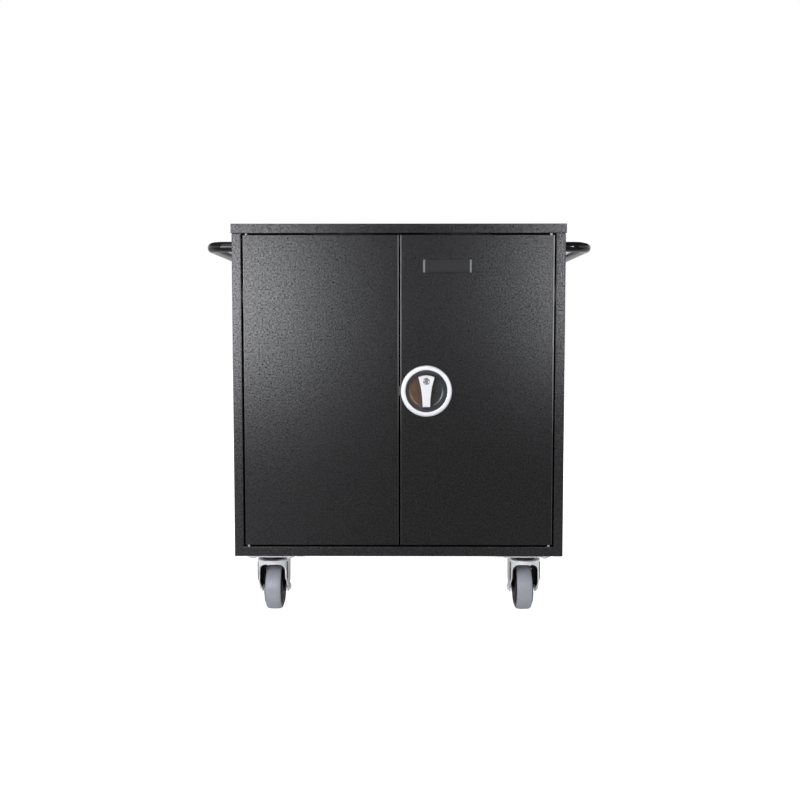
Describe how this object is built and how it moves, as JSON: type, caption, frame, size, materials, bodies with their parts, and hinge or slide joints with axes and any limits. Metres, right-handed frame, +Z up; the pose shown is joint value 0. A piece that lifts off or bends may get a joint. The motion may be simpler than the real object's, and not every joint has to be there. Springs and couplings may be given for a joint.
{
  "type": "laptop charging cart",
  "caption": "Black steel charging cart on swivel castors with two lockable front doors, side push handles, laptop divider racks and a rear charger bay with power strips.",
  "frame": {"origin": "on the floor under the middle of the cart's bounding box", "axes": "+Z up, the two front doors face -Y, +X to the right as seen from the front"},
  "size_m": [0.8528, 0.674, 0.851],
  "materials": {
    "powder_coat": "fine textured black powder coat",
    "gloss_tube": "gloss black coat",
    "strip_plastic": "moulded black plastic",
    "rocker_plastic": "gloss red plastic",
    "pin_steel": "plain steel",
    "nylon": "natural nylon",
    "satin_zinc": "satin plated die casting",
    "chrome_plate": "polished plating",
    "zinc_plate": "bright zinc plate",
    "hub_plastic": "black nylon",
    "tread_rubber": "grey non-marking rubber"
  },
  "bodies": {
    "cabinet": {"left_side_panel": "powder_coat", "right_side_panel": "powder_coat", "base_tray": "powder_coat", "top_lid": "powder_coat", "middle_shelf": "powder_coat", "charger_partition": "powder_coat", "lower_divider_rack": "powder_coat", "upper_divider_rack": "powder_coat", "lower_power_strip": "strip_plastic", "upper_power_strip": "strip_plastic", "power_inlet": "strip_plastic", "left_push_handle": "gloss_tube", "right_push_handle": "gloss_tube", "left_door_top_pin": "pin_steel", "left_door_bottom_pin": "pin_steel", "right_door_top_pin": "pin_steel", "right_door_bottom_pin": "pin_steel", "rear_door_top_pin": "pin_steel", "rear_door_bottom_pin": "pin_steel", "front_left_castor_plate": "zinc_plate", "front_right_castor_plate": "zinc_plate", "rear_left_castor_plate": "zinc_plate", "rear_right_castor_plate": "zinc_plate"},
    "left_door": {"left_door": "powder_coat", "left_door_top_bush": "nylon", "left_door_bottom_bush": "nylon", "strike_plate": "powder_coat"},
    "right_door": {"right_door": "powder_coat", "right_door_top_bush": "nylon", "right_door_bottom_bush": "nylon", "lock_rosette": "satin_zinc", "lock_case": "pin_steel", "name_plate": "powder_coat"},
    "rear_door": {"rear_door": "powder_coat"},
    "turn_handle": {"turn_handle": "satin_zinc", "lock_pinion": "pin_steel"},
    "key_cylinder": {"key_cylinder": "chrome_plate"},
    "upper_lock_rod": {"upper_lock_rod": "zinc_plate"},
    "lower_lock_rod": {"lower_lock_rod": "zinc_plate"},
    "lock_tongue": {"lock_tongue": "zinc_plate"},
    "rear_lock": {"rear_lock": "chrome_plate", "rear_lock_cam": "zinc_plate"},
    "lower_strip_switch": {"lower_strip_switch": "rocker_plastic"},
    "upper_strip_switch": {"upper_strip_switch": "rocker_plastic"},
    "front_left_swivel": {"front_left_castor_fork": "zinc_plate", "front_left_axle_bolt": "zinc_plate"},
    "front_left_wheel": {"front_left_wheel_hub": "hub_plastic", "front_left_tyre": "tread_rubber"},
    "front_right_swivel": {"front_right_castor_fork": "zinc_plate", "front_right_axle_bolt": "zinc_plate"},
    "front_right_wheel": {"front_right_wheel_hub": "hub_plastic", "front_right_tyre": "tread_rubber"},
    "rear_left_swivel": {"rear_left_castor_fork": "zinc_plate", "rear_left_axle_bolt": "zinc_plate"},
    "rear_left_wheel": {"rear_left_wheel_hub": "hub_plastic", "rear_left_tyre": "tread_rubber"},
    "rear_right_swivel": {"rear_right_castor_fork": "zinc_plate", "rear_right_axle_bolt": "zinc_plate"},
    "rear_right_wheel": {"rear_right_wheel_hub": "hub_plastic", "rear_right_tyre": "tread_rubber"}
  },
  "joints": [
    {"name": "left_door_swing", "type": "hinge", "parent": "cabinet", "child": "left_door", "pos_m": [-0.325, -0.322, 0.4955], "axis": [0, 0, -1], "range_deg": [0, 105]},
    {"name": "right_door_swing", "type": "hinge", "parent": "cabinet", "child": "right_door", "pos_m": [0.325, -0.322, 0.4955], "axis": [0, 0, 1], "range_deg": [0, 105]},
    {"name": "rear_door_swing", "type": "hinge", "parent": "cabinet", "child": "rear_door", "pos_m": [-0.325, 0.294, 0.4955], "axis": [0, 0, 1], "range_deg": [0, 105]},
    {"name": "handle_turn", "type": "hinge", "parent": "right_door", "child": "turn_handle", "pos_m": [0.0596, -0.329, 0.4955], "axis": [0, -1, 0], "range_deg": [0, 90]},
    {"name": "key_turn", "type": "hinge", "parent": "turn_handle", "child": "key_cylinder", "pos_m": [0.0596, -0.329, 0.517], "axis": [0, -1, 0], "range_deg": [0, 90]},
    {"name": "upper_rod_slide", "type": "slide", "parent": "right_door", "child": "upper_lock_rod", "axis": [0, 0, 1], "range_m": [0, 0.0126]},
    {"name": "lower_rod_slide", "type": "slide", "parent": "right_door", "child": "lower_lock_rod", "axis": [0, 0, -1], "range_m": [0, 0.0126]},
    {"name": "tongue_slide", "type": "slide", "parent": "right_door", "child": "lock_tongue", "axis": [-1, 0, 0], "range_m": [0, 0.0126]},
    {"name": "rear_lock_turn", "type": "hinge", "parent": "rear_door", "child": "rear_lock", "pos_m": [0.3, 0.301, 0.4955], "axis": [0, -1, 0], "range_deg": [0, 90]},
    {"name": "lower_switch_rock", "type": "hinge", "parent": "cabinet", "child": "lower_strip_switch", "pos_m": [0.262, 0.2138, 0.41375], "axis": [0, 0, 1], "range_deg": [0, 16]},
    {"name": "upper_switch_rock", "type": "hinge", "parent": "cabinet", "child": "upper_strip_switch", "pos_m": [0.262, 0.2138, 0.77], "axis": [0, 0, 1], "range_deg": [0, 16]},
    {"name": "front_left_castor_swivel", "type": "hinge", "parent": "cabinet", "child": "front_left_swivel", "pos_m": [-0.2785, -0.279, 0.118], "axis": [0, 0, 1], "continuous": true},
    {"name": "front_left_wheel_roll", "type": "hinge", "parent": "front_left_swivel", "child": "front_left_wheel", "pos_m": [-0.2785, -0.243, 0.05], "axis": [1, 0, 0], "continuous": true},
    {"name": "front_right_castor_swivel", "type": "hinge", "parent": "cabinet", "child": "front_right_swivel", "pos_m": [0.2785, -0.279, 0.118], "axis": [0, 0, 1], "continuous": true},
    {"name": "front_right_wheel_roll", "type": "hinge", "parent": "front_right_swivel", "child": "front_right_wheel", "pos_m": [0.2785, -0.243, 0.05], "axis": [1, 0, 0], "continuous": true},
    {"name": "rear_left_castor_swivel", "type": "hinge", "parent": "cabinet", "child": "rear_left_swivel", "pos_m": [-0.2785, 0.251, 0.118], "axis": [0, 0, 1], "continuous": true},
    {"name": "rear_left_wheel_roll", "type": "hinge", "parent": "rear_left_swivel", "child": "rear_left_wheel", "pos_m": [-0.2785, 0.287, 0.05], "axis": [1, 0, 0], "continuous": true},
    {"name": "rear_right_castor_swivel", "type": "hinge", "parent": "cabinet", "child": "rear_right_swivel", "pos_m": [0.2785, 0.251, 0.118], "axis": [0, 0, 1], "continuous": true},
    {"name": "rear_right_wheel_roll", "type": "hinge", "parent": "rear_right_swivel", "child": "rear_right_wheel", "pos_m": [0.2785, 0.287, 0.05], "axis": [1, 0, 0], "continuous": true}
  ],
  "couplings": [
    {"joint": "upper_rod_slide", "follows": "handle_turn", "m_per_rad": 0.008},
    {"joint": "lower_rod_slide", "follows": "handle_turn", "m_per_rad": 0.008},
    {"joint": "tongue_slide", "follows": "handle_turn", "m_per_rad": 0.008}
  ]
}
